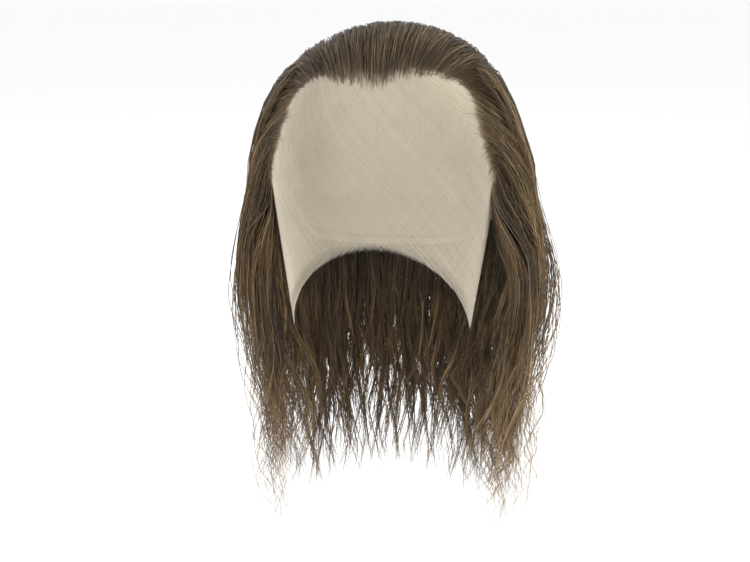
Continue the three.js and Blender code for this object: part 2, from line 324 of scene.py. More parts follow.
def head_point(bearing, drop, offset):
    ring = head_ring(drop, bearing)
    rise = np.maximum(0, 1 - drop / CROWN_HEIGHT) * (CROWN_HEIGHT + offset) - CROWN_HEIGHT
    x = (HALF_WIDTH + offset) * ring * np.sin(bearing)
    y = -(HALF_LENGTH + offset) * ring * np.cos(bearing)
    return np.stack([x, y, np.where(drop <= CROWN_HEIGHT, rise, -drop)], axis=-1)


def outward(points):
    """The way out of the head at points near it."""
    up = np.maximum(points[..., 2] + CROWN_HEIGHT, 0)
    return unit(np.stack([
        points[..., 0] / HALF_WIDTH ** 2,
        points[..., 1] / HALF_LENGTH ** 2,
        up / CROWN_HEIGHT ** 2,
    ], axis=-1))


def prisms(paths, widths, twist, thinness=1.0):
    """Points and faces of slim three-sided strands along paths, with pointed ends."""
    count, steps, _ = paths.shape
    along = unit(np.gradient(paths, axis=1))
    side = unit(np.cross(along, outward(paths)))
    out = np.cross(side, along)
    rings = []
    for corner in range(3):
        turn = twist + 2 * math.pi * corner / 3
        across = np.cos(turn)[:, None, None] * side + np.sin(turn)[:, None, None] * out * thinness
        rings.append(paths + across * widths[..., None] * CORNER_REACH)
    rings = np.stack(rings, axis=2)[:, 1:-1].reshape(count, -1, 3)
    points = np.concatenate([paths[:, :1], rings, paths[:, -1:]], axis=1)
    per_strand = points.shape[1]
    triangles, quads, triangle_uv, quad_uv = [], [], [], []
    heights = np.arange(steps) / (steps - 1)
    end = 1 + 3 * (steps - 3)
    for corner in range(3):
        after = (corner + 1) % 3
        left, right = corner / 3, (corner + 1) / 3
        middle = (left + right) / 2
        triangles += [(0, 1 + corner, 1 + after), (end + corner, per_strand - 1, end + after)]
        triangle_uv += [(middle, 0), (left, heights[1]), (right, heights[1])]
        triangle_uv += [(left, heights[-2]), (middle, 1), (right, heights[-2])]
        for ring, (low, high) in enumerate(zip(heights[1:-2], heights[2:-1])):
            a, b = 1 + 3 * ring + corner, 1 + 3 * ring + after
            quads.append((a, a + 3, b + 3, b))
            quad_uv += [(left, low), (left, high), (right, high), (right, low)]
    runs = np.concatenate([[0], np.repeat(heights[1:-1], 3), [1]])
    return {
        "points": points, "runs": np.broadcast_to(runs, (count, per_strand)),
        "faces": [
            (np.array(triangles), np.array(triangle_uv), 3),
            (np.array(quads), np.array(quad_uv), 4),
        ],
    }


def new_object(name, data):
    """A new object, linked to the scene."""
    made = bpy.data.objects.new(name, data)
    bpy.context.scene.collection.objects.link(made)
    return made


def strand_object(name, groups, tones):
    """One mesh object of all strands, with each strand's tone, its run from root to tip and its own
    cell of the UV map."""
    total = sum(len(group["points"]) for group in groups)
    across = math.ceil(math.sqrt(total))
    down = math.ceil(total / across)
    points, runs, tone, corners, sizes, uvs = [], [], [], [], [], []
    base = done = 0
    for group in groups:
        count, per_strand, _ = group["points"].shape
        points.append(group["points"].reshape(-1, 3) * MM)
        runs.append(group["runs"].ravel())
        number = done + np.arange(count)
        tone.append(np.repeat(tones[number], per_strand))
        cell = np.stack([number % across, number // across], axis=-1)
        start = base + per_strand * np.arange(count)
        for faces, face_uv, size in group["faces"]:
            corners.append((start[:, None] + faces.ravel()[None, :]).ravel())
            sizes.append(np.full(count * len(faces), size))
            in_cell = UV_MARGIN + (1 - 2 * UV_MARGIN) * face_uv[None, :, :] + cell[:, None, :]
            uvs.append((in_cell / np.array([across, down])).reshape(-1, 2))
        base += count * per_strand
        done += count
    points, corners, sizes, uvs = map(np.concatenate, (points, corners, sizes, uvs))
    loop_starts = np.concatenate([[0], np.cumsum(sizes)[:-1]])
    mesh = bpy.data.meshes.new(name)
    mesh.vertices.add(len(points))
    mesh.vertices.foreach_set("co", points.ravel())
    mesh.loops.add(len(corners))
    mesh.loops.foreach_set("vertex_index", corners.astype(np.int32))
    mesh.polygons.add(len(sizes))
    mesh.polygons.foreach_set("loop_start", loop_starts.astype(np.int32))
    mesh.polygons.foreach_set("use_smooth", np.ones(len(sizes), bool))
    mesh.uv_layers.new(name="OFBake").data.foreach_set("uv", uvs.ravel())
    for label, values in (("tone", tone), ("run", runs)):
        attribute = mesh.attributes.new(label, "FLOAT", "POINT")
        attribute.data.foreach_set("value", np.concatenate(values))
    mesh.update(calc_edges=True)
    return new_object(name, mesh)


def place(made, node, material):
    """Puts a finished piece in the place of a CAD node."""
    made.data.materials.append(material)
    if node:
        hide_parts(node)
    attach(made, "root")


def add_node(tree, kind, settings=None, links=None):
    """Adds a shader node, sets its properties and sockets, and links its inputs."""
    node = tree.nodes.new(kind)
    for key, value in (settings or {}).items():
        if isinstance(key, int) or key in node.inputs:
            node.inputs[key].default_value = value
        else:
            setattr(node, key, value)
    for key, source in (links or {}).items():
        tree.links.new(source, node.inputs[key])
    return node


def new_material(name):
    material = bpy.data.materials.new(name)
    material.use_nodes = True
    tree = material.node_tree
    return material, tree, tree.nodes["Principled BSDF"]


def ramp(node, stops):
    """Sets a colour ramp's stops."""
    while len(node.color_ramp.elements) > 1:
        node.color_ramp.elements.remove(node.color_ramp.elements[-1])
    for i, (position, value) in enumerate(stops):
        stop = node.color_ramp.elements[0] if i == 0 else node.color_ramp.elements.new(position)
        stop.position = position
        stop.color = (*value, 1)


def noise(tree, size, detail):
    """A noise over the object with patches of about a size in millimetres."""
    links = {"Vector": add_node(tree, "ShaderNodeTexCoord").outputs["Object"]}
    settings = {"Scale": 1 / (size * MM), "Detail": detail}
    return add_node(tree, "ShaderNodeTexNoise", settings, links).outputs["Fac"]


def mapped(tree, value, to_range, from_range=(0.0, 1.0)):
    """A value mapped from one range to another."""
    names = ("From Min", "From Max", "To Min", "To Max")
    settings = dict(zip(names, (*from_range, *to_range)))
    return add_node(tree, "ShaderNodeMapRange", settings, {"Value": value}).outputs["Result"]


def hair_material(hair):
    """Human hair, dyed ash brown: each strand has its own tone, with a soft shine along it."""
    material, tree, shader = new_material("human hair, ash brown")
    tone = add_node(tree, "ShaderNodeAttribute", {"attribute_name": "tone"})
    run = add_node(tree, "ShaderNodeAttribute", {"attribute_name": "run"})
    strand = add_node(tree, "ShaderNodeValToRGB", links={"Fac": tone.outputs["Fac"]})
    ramp(strand, [(0.0, hair.dark), (0.45, hair.middle), (0.82, hair.light), (1.0, hair.golden)])
    # Uneven dye
    dye = noise(tree, DYE_PATCH, 3.0)
    patches = mapped(tree, dye, (0.82, 1.15), (0.3, 0.7))
    # Painted shade along each strand's run, darkest in its middle, and painted light towards its lower end
    run_painted_shade_and_light = add_node(tree, "ShaderNodeValToRGB", links={"Fac": run.outputs["Fac"]})
    ramp(run_painted_shade_and_light, HAIR_PAINTED_SHADE_AND_LIGHT)
    shaded = add_node(tree, "ShaderNodeVectorMath", {"operation": "SCALE"},
                      {0: strand.outputs["Color"], "Scale": patches})
    final = add_node(tree, "ShaderNodeVectorMath", {"operation": "MULTIPLY"},
                     {0: shaded.outputs["Vector"], 1: run_painted_shade_and_light.outputs["Color"]})
    tree.links.new(final.outputs["Vector"], shader.inputs["Base Color"])
    tree.links.new(mapped(tree, dye, (0.34, 0.5)), shader.inputs["Roughness"])
    shader.inputs["IOR"].default_value = 1.55
    shader.inputs["Specular IOR Level"].default_value = 0.38
    return material


def thread_material(name, base, thread):
    """Matt spun thread: threads differ a little in tone, and the twist roughens them."""
    material, tree, shader = new_material(name)
    tone = add_node(tree, "ShaderNodeAttribute", {"attribute_name": "tone"})
    shade = mapped(tree, tone.outputs["Fac"], (0.88, 1.06))
    # Soil and wear
    patch = mapped(tree, noise(tree, SOIL_PATCH, 4.0), (0.94, 1.03), (0.35, 0.65))
    both = add_node(tree, "ShaderNodeMath", {"operation": "MULTIPLY"}, {0: shade, 1: patch})
    tint = add_node(tree, "ShaderNodeVectorMath", {"operation": "SCALE", 0: base[:]},
                    {"Scale": both.outputs["Value"]})
    tree.links.new(tint.outputs["Vector"], shader.inputs["Base Color"])
    # The twist of the yarn, about as long as the thread is wide
    bump = add_node(tree, "ShaderNodeBump", {"Strength": 0.3, "Distance": 0.2 * thread * MM},
                    {"Height": noise(tree, thread, 1.0)})
    tree.links.new(bump.outputs["Normal"], shader.inputs["Normal"])
    shader.inputs["Roughness"].default_value = 0.8
    shader.inputs["Sheen Weight"].default_value = 0.2
    return material


def paper_material(base):
    """Matt white studio paper."""
    material, _, shader = new_material("studio paper, white")
    shader.inputs["Base Color"].default_value = (*base, 1)
    shader.inputs["Roughness"].default_value = 0.9
    return material


def spline(points, steps=12):
    """A smooth line through side view points."""
    y, z = zip(*points)
    table = {"at": range(len(points)), "y": y, "z": z}
    at = np.linspace(0, len(points) - 1, steps * (len(points) - 1) + 1)
    return np.stack([column(table, "at", "y", at), column(table, "at", "z", at)], axis=-1)


def net_outline(lower):
    """Side view outline of a net: the seam, its lower edge and round above the wig."""
    return np.concatenate([spline(SEAM), lower, [(lower[-1][0], ABOVE), (SEAM[0][0], ABOVE)]])


def inside(outline, points):
    """Which points lie inside a side view outline."""
    y, z = points[..., 1], points[..., 2]
    found = np.zeros(y.shape, bool)
    for (y0, z0), (y1, z1) in zip(outline, np.roll(outline, -1, axis=0)):
        if z0 == z1:
            continue
        crosses = (z0 > z) != (z1 > z)
        found ^= crosses & (y < (y1 - y0) * (z - z0) / (z1 - z0) + y0)
    return found


def meridian_drop(run):
    """The drop at a run in millimetres down the head from the crown."""
    mean = (CROWN_HEIGHT + HALF_LENGTH) / 2
    quarter = mean * math.pi / 2
    on_crown = CROWN_HEIGHT * (1 - np.cos(np.minimum(run, quarter) / mean))
    return np.where(run < quarter, on_crown, CROWN_HEIGHT + run - quarter)


def wrapped(flat, offset):
    """Cloth that is wrapped round the head from side to side: flat x is the way round, y the way down."""
    mean = (HALF_WIDTH + HALF_LENGTH) / 2
    return head_point(flat[..., 0] / mean, meridian_drop(flat[..., 1]), offset)


def domed(flat, offset):
    """Cloth that is laid on the crown and drawn down all round: the crown is the flat origin."""
    run = np.hypot(flat[..., 0], flat[..., 1])
    return head_point(np.arctan2(flat[..., 0], -flat[..., 1]), meridian_drop(run), offset)


def net_threads(rng, laid, outline, net, pitch):
    """The threads of a net, as lines across the cloth both ways, cut to a side view outline."""
    threads = []
    low, high = net["low"], net["high"]
    reach = (high[0] - low[0]) + (high[1] - low[1])
    middle = (low[0] + high[0]) / 2
    run = np.arange(low[1], high[1], 1.0)
    for way in (1, -1):
        for start in np.arange(-reach, reach, pitch * math.sqrt(2)):
            uneven = start + UNEVEN_WEAVE * pitch * rng.normal()
            across = middle + uneven + way * (run - low[1]) - way * (high[1] - low[1]) / 2
            flat = np.stack([across, run], axis=-1)
            flat = flat[(flat[:, 0] > low[0]) & (flat[:, 0] < high[0])]
            points = laid(flat, NET_OFFSET + CROSSING * way)
            at = np.arange(len(points))
            kept = inside(outline, points)
            edges = np.flatnonzero(np.diff(np.concatenate([[0], kept.astype(int), [0]])))
            for first, last in zip(edges[::2], edges[1::2]):
                if last - first < FEWEST_POINTS:
                    continue
                steps = max(FEWEST_POINTS, (last - first) // net["points_every"])
                begin = first + rng.uniform(0, net["fray"])
                share = np.linspace(begin, last - 1 - rng.uniform(0, net["fray"]), steps)
                threads.append(np.stack([np.interp(share, at, points[:, i]) for i in range(3)], axis=-1))
    return threads


def hem_cords(outline):
    """Cords along the edge of the cap, side by side."""
    y, z = outline[:-2].T
    bearing = np.full(len(y), math.pi / 2)
    for _ in range(12):
        reach = -y / (HALF_LENGTH * np.maximum(head_ring(-z, bearing), 1e-6))
        bearing = np.arccos(np.clip(reach, -1, 1))
    on_head = (z < 0) & (np.abs(reach) < 1)
    half = np.stack([bearing, -z], axis=-1)[on_head]
    loop = np.concatenate([half, (half * [-1, 1])[::-1], half[:1]])
    loop[len(half):-1, 0] %= 2 * math.pi
    line = head_point(loop[:, 0], loop[:, 1], NET_OFFSET)
    inward = unit(np.cross(np.gradient(line, axis=0), outward(line)))
    return [line + inward * HEM["pitch"] * (i + 0.5) for i in range(HEM["cords"])]


def net_object(rng, name, threads, width):
    """One object of many threads, which lie flat, grouped by how many points they have."""
    groups = []
    for steps in sorted({len(thread) for thread in threads}):
        paths = np.array([thread for thread in threads if len(thread) == steps])
        widths = np.full(paths.shape[:2], width)
        groups.append(prisms(paths, widths, np.full(len(paths), math.pi / 2), thinness=0.7))
    return strand_object(name, groups, rng.random(len(threads)))


def hairline(side):
    """Bearing, drop and fall at a side of the hairline."""
    at = np.abs(side) * HAIRLINE["at"][-1]
    way = np.sign(side)
    bearing, fall = (way * np.radians(column(HAIRLINE, "at", name, at)) for name in ("bearing", "fall"))
    return bearing, np.minimum(column(HAIRLINE, "at", "drop", at), CROWN_HEIGHT), fall


def hairline_root(side, ahead=0.0):
    """Where the hair of a side grows, in plan, and where it is combed to. Ahead moves it round the head
    towards the face."""
    bearing, drop, fall = hairline(side)
    bearing = bearing - np.sign(side) * ahead / HALF_WIDTH
    ring = head_ring(drop, bearing)
    return np.stack([ring * np.sin(bearing), -ring * np.cos(bearing)], axis=-1), fall


def fall_point(fall):
    """Where hair falls from the head, in plan on a circle of radius 1."""
    return np.stack([np.sin(fall), np.cos(fall)], axis=-1)


def growth(side):
    return column(GROWTH, "side", "behind", side)


def even_sides(low, high, share):
    """Places along the hairline, evenly spread over its real length."""
    side = np.linspace(low, high, 300)
    bearing, drop, _ = hairline(side)
    gone = lengths_along(head_point(bearing, drop, 0.0)[None])[0]
    return np.interp(share * gone[-1], gone, side)


def stand_off(plan_x, drop, depth, up=0.0):
    """How far hair stands off the head to the sides and to the back, at a depth from 0 for its underside
    to 1 for its outside. Over the head, up is the height on a dome of radius 1."""
    right = smooth(plan_x, -0.6, 0.6)
    rounding = smooth(up, 0, 0.3) * (1 - smooth(up, 0.5, 0.85))
    drawn_in = 1 - rounding * blend(*SHOULDER, right)
    left_side, right_side, back = (column(FLARE, "drop", name, drop) for name in ("left", "right", "back"))
    sides = blend(left_side, right_side, right) * drawn_in
    through = []
    for outside in (sides, back):
        low = np.minimum(outside, np.maximum(HAIR_CLEARANCE, outside - CURTAIN_THICKNESS))
        through.append(blend(low, outside, depth))
    return through


def hanging(fall, drop, depth):
    """Points of the hair where it hangs."""
    to_side, to_back = stand_off(np.sin(fall), drop, depth)
    x = (HALF_WIDTH + to_side) * np.sin(fall)
    y = (HALF_LENGTH + to_back) * np.cos(fall)
    return np.stack(np.broadcast_arrays(x, y, -drop), axis=-1)


def lengths_along(paths):
    steps = np.linalg.norm(np.diff(paths, axis=1), axis=-1)
    return np.concatenate([np.zeros((len(paths), 1)), np.cumsum(steps, axis=1)], axis=1)


def edge_lift(fall):
    share = smooth(np.abs(np.sin(fall)), 0.8, 1.0)
    return blend(*EDGE_LIFT, share)


def over_head(root, fall, start, points):
    """Plan of strands on their way over the head, and their height on a dome of radius 1."""
    way = np.linspace(0, 1, points)[None, :]
    share = start[:, None] + (1 - np.minimum(start, 1))[:, None] * way
    eased = 1 - (1 - np.minimum(share, 1)) ** 2
    plan = blend(root[:, None, :], fall_point(fall)[:, None, :], eased[..., None])
    return plan, np.sqrt(np.clip(1 - (plan ** 2).sum(-1), 0, 1))


def comb(root, fall, depth, low_depth, start, tip, hair, runs, lift=INNER_LIFT, reach=1000.0):
    """Strands combed over the head from their roots to where they fall, and hanging from there. Start
    is the share of the way over the head where a strand is tied in, past 1 below the widest level.
    Depth is where it lies in the thickness of the hair, over the head and further down. Lift is how
    far from its root it reaches that depth, and reach cuts it."""
    points_over, points_below = 26, 30
    plan, up = over_head(root, fall, start, points_over)
    level = np.full_like(up, CROWN_HEIGHT)
    to_side, to_back = stand_off(plan[..., 0], level, depth[:, None], up)
    fuller = CROWN_LEAN * plan[..., 0] * np.where(plan[..., 0] > 0, 1, smooth(up, 0.75, 0.95))
    loft = hair.crown_loft / MM
    to_top = HAIR_CLEARANCE + (loft * (1 + fuller) - HAIR_CLEARANCE) * depth[:, None]

    def dome(sides, back, top):
        x = (HALF_WIDTH + sides) * plan[..., 0]
        y = (HALF_LENGTH + back) * plan[..., 1]
        return np.stack([x, y, (CROWN_HEIGHT + top) * up - CROWN_HEIGHT], axis=-1)

    begin = CROWN_HEIGHT + LOW_ROOT * np.maximum(start - 1, 0)
    drop = begin[:, None] + (tip - begin)[:, None] * np.linspace(0, 1, points_below + 1)[None, 1:]
    low_start = (start > 1)[:, None]
    first_drop = np.where(low_start, begin[:, None], CROWN_HEIGHT) + np.zeros_like(up)
    bearing, fall = math.pi - fall[:, None], fall[:, None]
    pick = low_start[..., None]
    lying = dome(LIE_OFFSET, LIE_OFFSET, LIE_OFFSET)
    seat_over = np.where(pick, head_point(bearing, first_drop, LIE_OFFSET), lying)
    raised = dome(to_side, to_back, to_top)
    full_over = np.where(pick, hanging(fall, first_drop, depth[:, None]), raised)
    settled = blend(depth[:, None], low_depth[:, None], smooth(drop, CROWN_HEIGHT, SETTLED_DROP))
    seat = np.concatenate([seat_over, head_point(bearing, drop, LIE_OFFSET)], axis=1)
    full = np.concatenate([full_over, hanging(fall, drop, settled)], axis=1)
    path = blend(seat, full, smooth(lengths_along(seat), 0, np.reshape(lift, (-1, 1)))[..., None])
    path[:, 0] -= outward(path[:, 0]) * (LIE_OFFSET - NET_OFFSET)
    gone = lengths_along(path)
    even = np.array(runs)
    reach = np.broadcast_to(reach, len(root))
    return np.array([
        np.stack([np.interp(even * min(g[-1], far), g, p[:, i]) for i in range(3)], axis=-1)
        for g, p, far in zip(gone, path, reach)])


def push(paths, fall, out, aside):
    """Moves hanging strands out from the head and to one side."""
    away, across = np.sin(fall)[:, None], np.cos(fall)[:, None]
    paths[..., 0] += out * away + aside * across
    paths[..., 1] += out * across - aside * away
    return paths


def wave(paths, fall, phase, drops, size, period):
    """Bends hanging strands from side to side, more towards their ends."""
    drop = -paths[..., 2]
    grown = np.reshape(size, (-1, 1)) * smooth(drop, *drops)
    turn = 2 * math.pi * drop / period[:, None] + phase[:, None]
    return push(paths, fall, grown * np.sin(turn), grown * np.sin(0.83 * turn + 2.1 * phase[:, None]))


def curl(rng, paths, fall, bend, size):
    """Bends each hanging strand with a wave of its own."""
    phase = rng.uniform(*PHASES, len(paths))
    return wave(paths, fall, phase, bend["drops"], size, rng.uniform(*bend["period"], len(paths)))


def hang_locks(rng, paths, fall, lock_fall, lock_depth, tip, locks, habit, hair):
    """Draws the strands of each lock together towards its tip, lets it drift aside and waves it."""
    drop = -paths[..., 2]
    centre = hanging(lock_fall[:, None], np.maximum(drop, CROWN_HEIGHT), lock_depth[:, None])
    hold = rng.uniform(*habit["hold"], len(paths))
    pull = hold[:, None] * smooth(drop, GATHER_DROP, tip[:, None])
    paths[..., :2] += (centre - paths)[..., :2] * pull[..., None]
    drift = habit["drift"] * locks["drift"]
    out, aside = (drift[:, i, None] * smooth(drop, *DRIFT_DROPS) for i in (0, 1))
    paths = push(paths, lock_fall, out, aside)
    size = habit["wave"] * hair.wave / MM
    return wave(paths, fall, locks["phase"], habit["wave_drops"], size, locks["period"])


def strand_widths(rng, count, runs, width):
    """Widths of strands, which thicken from 0.6 to 1 past the root and thin out to 0.35 at the tip."""
    run = np.array(runs)
    body = 0.6 + 0.4 * smooth(run, 0, 0.15) - 0.65 * smooth(run, 0.72, 1.0)
    return width * body[None, :] * rng.uniform(*WIDTH_SHARES, count)[:, None]


def head_run(root, fall, start):
    """Roughly how far a strand runs over the head before it hangs."""
    plan, up = over_head(root, fall, start, 14)
    dome = np.concatenate([plan, up[..., None]], axis=-1)
    return HAIR_RADIUS * lengths_along(dome)[:, -1]


def pick_locks(rng, section):
    """Gives each strand of a section a lock: its number, and how it lies, ends and waves."""
    count = section["locks"]
    table = {
        "depth": rng.random(count),
        "low_depth": rng.random(count) ** 1.9,
        "short": rng.random(count),
        "phase": rng.uniform(0, 2 * math.pi, count),
        "period": rng.uniform(85, 150, count),
        "drift": rng.normal((-3, 0), (10, 10), (count, 2)).clip((-24, -20), (3, 20)),
        "lean": rng.normal(0, 0.05, count),
        "tone": rng.normal(0, 0.13, count),
    }
    lock = rng.integers(0, count, section["strands"])
    return lock, {name: values[lock] for name, values in table.items()}


def cut_ends(rng, root, fall, start, short, section, hair):
    """How far down each strand hangs: most stop above the cut line, and few reach it."""
    free = CROWN_HEIGHT + hair.strand_length / MM - head_run(root, fall, start)
    longest = np.minimum(hair.cut_drop / MM - section["above"], free)
    own = np.clip(short + rng.normal(0, section["uneven"], len(start)), 0, 1)
    return np.maximum(longest - section["thinned"] * (1 - own ** 2.2), SHORTEST_DROP)


def set_back(root, fall, distance):
    """The share of the way over the head at a distance behind the hairline."""
    way = np.linalg.norm(fall_point(fall) - root, axis=-1) * (HALF_WIDTH + HALF_LENGTH)
    return np.clip(distance / way, -0.15, 0.6)


def front_roots(rng, side, to_side, at_edge, radius, lean):
    """Roots of a front section in plan, where its strands fall and are tied in, how far forward they
    turn at the lower end, and the whole turn of their locks."""
    count = len(side)
    root, fall = hairline_root(side)
    edge_forward = FRONT["edge_forward"] * rng.random(count) ** 1.5
    forward = np.where(at_edge, edge_forward, FRONT["inner_forward"]) * smooth(np.abs(side), 0.6, 0.95)
    turn = lean + np.sign(side) * forward
    fall = fall + turn + rng.normal(0, 0.03, count)
    edge_start = set_back(root, fall, growth(side) + rng.uniform(*FRONT["behind"], count))
    start = np.where(at_edge, edge_start, rng.uniform(*FRONT["start"], count))
    # Behind the hairline the sides grow from all over the cap and run straight out from the crown
    turned = np.clip(fall + np.sign(fall) * rng.uniform(*FRONT["ray"], count), -RAY_LIMIT, RAY_LIMIT)
    on_line = blend(root, fall_point(fall), (1 - (1 - start) ** 2)[:, None])
    inner = blend(on_line, radius[:, None] * fall_point(turned), to_side[:, None])
    return np.where(at_edge[:, None], root, inner), fall, np.where(at_edge, start, 0), forward, turn


def front_section(rng, section, hair):
    """Strands that grow from the hairline and behind it, combed back and to the sides."""
    count, low = section["strands"], section["low"]
    stretch = section["from"], section["to"]
    lock, locks = pick_locks(rng, section)
    lock_fall = hairline(even_sides(*stretch, (lock + 0.5) / section["locks"]))[2]
    share = (lock + 0.5 + rng.normal(0, FRONT["scatter"], count)) / section["locks"]
    side = even_sides(*stretch, np.clip(share, 0, 1))
    to_side = smooth(np.abs(side), *FRONT["to_side"])
    at_edge = rng.random(count) < section["edge"]
    from_temple = at_edge & (np.abs(side) > FRONT["temple"])
    # On the sides the hair that grows low lies under the hair from higher up
    radius = rng.uniform(*FRONT["radius"], count)
    by_root = 0.35 + 0.5 * locks["depth"] + 0.6 * (0.6 - radius)
    layer = blend(locks["depth"], by_root, to_side)
    depth = low + (1 - low) * np.clip(layer + rng.normal(0, section["mixed"], count), 0, OUTSIDE)
    edge_depth = np.maximum(depth, rng.uniform(FRONT["edge_depth"], OUTSIDE, count))
    depth = np.where(at_edge, edge_depth, depth)
    # The hair of the temples keeps to the outside as it falls, over the hair from further back, which lies
    # in its shade and is given painted shade as well
    lock_low = low + (1 - low) * 0.8 * locks["low_depth"]
    lock_low = np.where(from_temple, 0.34 + 0.46 * locks["depth"], lock_low)
    low_depth = np.clip(lock_low + rng.normal(0, 0.12, count), 0, OUTSIDE)
    root, fall, start, forward, turn = front_roots(rng, side, to_side, at_edge, radius, locks["lean"])
    tip = cut_ends(rng, root, fall, start, locks["short"], section, hair)
    shorter = rng.uniform(*FRONT["shorter"], count)
    shorter = np.where(from_temple, shorter + FRONT["shorter_turned"] * forward, 0)
    tip = np.maximum(tip - shorter, SHORTEST_DROP)
    lift = np.where(at_edge, edge_lift(fall), INNER_LIFT)
    paths = comb(root, fall, depth, low_depth, start, tip, hair, FRONT["runs"], lift)
    paths = hang_locks(rng, paths, fall, lock_fall + turn, lock_low, tip, locks, FRONT, hair)
    paths = curl(rng, paths, fall, FRONT["own_wave"], FRONT["own_size"])
    # On the sides the hair gets painted light towards the outside and painted shade further in, where the
    # inner hair lies in shade
    painted_light_and_shade = np.where(from_temple, 0.8 * lock_low - 0.36, np.where(at_edge, 0.16, 0.5 * depth - 0.22))
    painted_light_and_shade = painted_light_and_shade * smooth(np.abs(side), 0.28, 0.45)
    own = rng.normal(0, FRONT["tone_spread"], count)
    tones = np.clip(FRONT["tone"] + painted_light_and_shade + locks["tone"] + own, 0, 1)
    return paths, tones, np.where(at_edge, 0, INNER_ROOT_RUN)


def back_section(rng, hair):
    """Strands sewn to the back of the cap, from the crown down to the nape."""
    count = BACK["strands"]
    spread = math.radians(BACK["spread"])
    lock, locks = pick_locks(rng, BACK)
    lock_fall = np.linspace(-spread, spread, BACK["locks"])[lock]
    fall = lock_fall + rng.normal(0, 2 * spread / BACK["locks"], count)
    start = rng.uniform(*BACK["start"], count)
    root = BACK["ring"] * fall_point(fall)
    lock_depth = BACK["high"] * locks["depth"]
    depth = np.clip(lock_depth + rng.normal(0, BACK["mixed"], count), 0, BACK["high"])
    tip = cut_ends(rng, root, fall, start, locks["short"], BACK, hair)
    paths = comb(root, fall, depth, depth, start, tip, hair, BACK["runs"])
    paths = hang_locks(rng, paths, fall, lock_fall, lock_depth, tip, locks, BACK, hair)
    own = rng.normal(0, BACK["tone_spread"], count)
    return paths, np.clip(BACK["tone"] + locks["tone"] + own, 0, 1), np.full(count, INNER_ROOT_RUN)


def fringe(rng, hair):
    """Fine short hairs of the hairline, which lie on the combed hair and soften its edge, and a few that
    grow below it in front of the ears."""
    count = FRINGE["strands"]
    side = even_sides(-1, 1, rng.random(count))
    added = rng.random(count) < FRINGE["at_temples"]
    side = np.where(added, np.sign(side) * rng.uniform(*FRINGE["temple"], count), side)
    way, far = np.sign(side), np.abs(side)
    at_temple = smooth(far, 0.35, 0.6)
    # The hairline is uneven at the temples, and curves back to the ear at its lower end
    ahead = at_temple * (1 - smooth(far, 0.65, 0.95)) * (rng.gamma(1.6, 2.8, count) - 2)
    ahead = ahead - rng.uniform(0, 9, count) * smooth(far, 0.75, 1.0)
    root, fall = hairline_root(side, ahead)
    turned = fall + FRINGE["temple_turn"] * way * smooth(far, 0.4, 0.7)
    fall = np.clip(turned, -RAY_LIMIT, RAY_LIMIT) + rng.normal(0, 0.08 - 0.04 * at_temple)
    # Few roots stand in front, most a little behind them, and some far behind
    behind = growth(side) + FRINGE["front"] + rng.gamma(5.0, 2.3, count)
    start = set_back(root, fall, behind + 30 * rng.random(count) ** 5)
    below = rng.random(count) < FRINGE["below"]
    down = rng.random(count)
    highest, less = FRINGE["below_fall"]
    below_fall = way * np.radians(highest - less * down + rng.normal(0, 1.5, count))
    fall = np.where(below, below_fall, fall)
    start = np.where(below, 1 + FRINGE["below_start"] * down, start)
    depth = rng.uniform(0.5, 1.0, count)
    depth = np.where(below, rng.uniform(0, 0.6, count), depth)
    longer = rng.random(count) ** 1.6
    longer = np.where(below, 0.5 * longer, longer)
    reach = blend(*FRINGE["lengths"], longer)
    tip, lift = FRINGE["tip"], edge_lift(fall)
    paths = comb(root, fall, depth, depth, start, tip, hair, FRINGE["runs"], lift, reach)
    # At the temples the short hairs get painted light and the longest ones painted shade; the hairs below
    # the hairline are darker
    tone = FRINGE["tone"] + at_temple * (0.42 - 0.65 * longer) - 0.15 * below
    return paths, np.clip(rng.normal(tone, FRINGE["tone_spread"]), 0, 1), np.zeros(count)


def loose_wisps(rng, hair):
    """Single curly strands at the sides, more of them on the right, some of which hang below the ends."""
    count = WISPS["strands"]
    right = rng.random(count) < WISPS["on_right"]
    way = np.where(right, 1, -1)
    fall = hairline(way * rng.uniform(*WISPS["side"], count))[2]
    stray = rng.random(count) < np.where(right, *WISPS["stray"])
    root = rng.uniform(*WISPS["radius"], count)[:, None] * fall_point(fall)
    depth = rng.uniform(0.5, 1.0, count)
    stray_depth = rng.uniform(0.9, 1.1, count)
    low_depth = np.where(stray, stray_depth, 0.75 * rng.random(count) ** 1.3)
    tip = rng.uniform(WISPS["highest"], hair.cut_drop / MM + WISPS["past_cut"], count)
    paths = comb(root, fall, depth, low_depth, np.zeros(count), tip, hair, WISPS["runs"])
    # Strays bow out at the sides and come back towards their ends
    drop = -paths[..., 2]
    bulge = smooth(drop, 60, 170) - 0.6 * smooth(drop, 190, 290)
    out = way * rng.uniform(0, np.where(right, *WISPS["stray_out"]), count)
    paths[..., 0] += np.where(stray, out, 0)[:, None] * bulge
    size = np.where(stray, WISPS["stray_size"], WISPS["size"])
    paths = curl(rng, paths, fall, WISPS["curl"], size)
    paths = curl(rng, paths, fall, WISPS["end_curl"], WISPS["end_size"])
    tones = rng.normal(WISPS["tone"], WISPS["tone_spread"], count) + WISPS["stray_tone"] * stray
    return paths, np.clip(tones, 0, 1), np.full(count, INNER_ROOT_RUN)


class WIG_OT_lace(bpy.types.Operator):
    """Nets the sheer lace from behind the hairline to its cut edge."""
    bl_idname = "wig.lace"
    bl_label = "Lace front"

    def execute(self, context):
        cloth = context.scene.wig_cloth
        rng = np.random.default_rng(LACE["seed"])
        threads = net_threads(rng, wrapped, net_outline(LACE_CUT), LACE, cloth.lace_pitch / MM)
        made = net_object(rng, "lace_net", threads, cloth.lace_thread / MM)
        material = thread_material("nylon lace, beige", cloth.lace_colour, cloth.lace_thread / MM)
        place(made, "lace_front", material)
        return {"FINISHED"}


